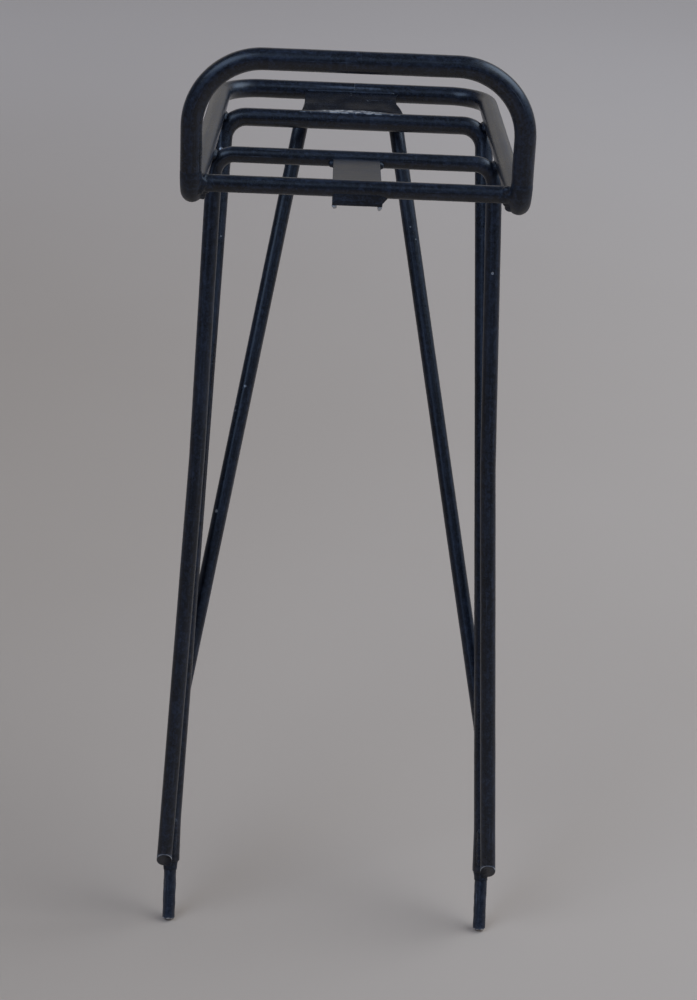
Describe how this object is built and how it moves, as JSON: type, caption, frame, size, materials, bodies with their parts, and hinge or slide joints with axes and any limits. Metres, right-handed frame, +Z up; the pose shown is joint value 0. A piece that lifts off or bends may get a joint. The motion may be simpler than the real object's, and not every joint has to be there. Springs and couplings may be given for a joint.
{
  "type": "bicycle luggage carrier",
  "caption": "Welded steel bicycle carrier: a flat bar platform with a raised hoop, a lamp plate and a stay plate, on long legs and struts that end in pins.",
  "frame": {"origin": "upper side of the stay plate's flat floor, in the carrier's middle plane", "axes": "+X across the carrier, +Y along the platform away from the hoop, +Z up, from the legs towards the platform"},
  "size_m": [0.1786, 0.235, 0.4682],
  "materials": {
    "tube_paint": "worn satin-gloss black paint",
    "rod_paint": "worn satin-gloss black paint",
    "plate_paint": "worn satin black paint, rubbed at the edges",
    "pin_paint": "rubbed black paint with bare steel at the tip",
    "weld_paint": "lumpy weld under black paint"
  },
  "bodies": {
    "root": {"main_loop": "tube_paint", "rear_leg_arch": "tube_paint", "front_leg_arch": "rod_paint", "front_crossbar": "rod_paint", "left_strut": "rod_paint", "right_strut": "rod_paint", "stay_plate": "plate_paint", "lamp_plate": "plate_paint", "left_pin": "pin_paint", "right_pin": "pin_paint", "left_front_crossbar_weld": "weld_paint", "right_front_crossbar_weld": "weld_paint", "left_front_shoulder_weld": "weld_paint", "right_front_shoulder_weld": "weld_paint", "left_rear_shoulder_weld": "weld_paint", "right_rear_shoulder_weld": "weld_paint", "left_strut_top_weld": "weld_paint", "right_strut_top_weld": "weld_paint", "left_strut_foot_weld": "weld_paint", "right_strut_foot_weld": "weld_paint", "left_foot_weld": "weld_paint", "right_foot_weld": "weld_paint", "left_pin_weld": "weld_paint", "right_pin_weld": "weld_paint", "stay_plate_front_weld": "weld_paint", "stay_plate_back_weld": "weld_paint", "lamp_plate_back_weld": "weld_paint", "lamp_plate_front_weld": "weld_paint"}
  },
  "joints": []
}
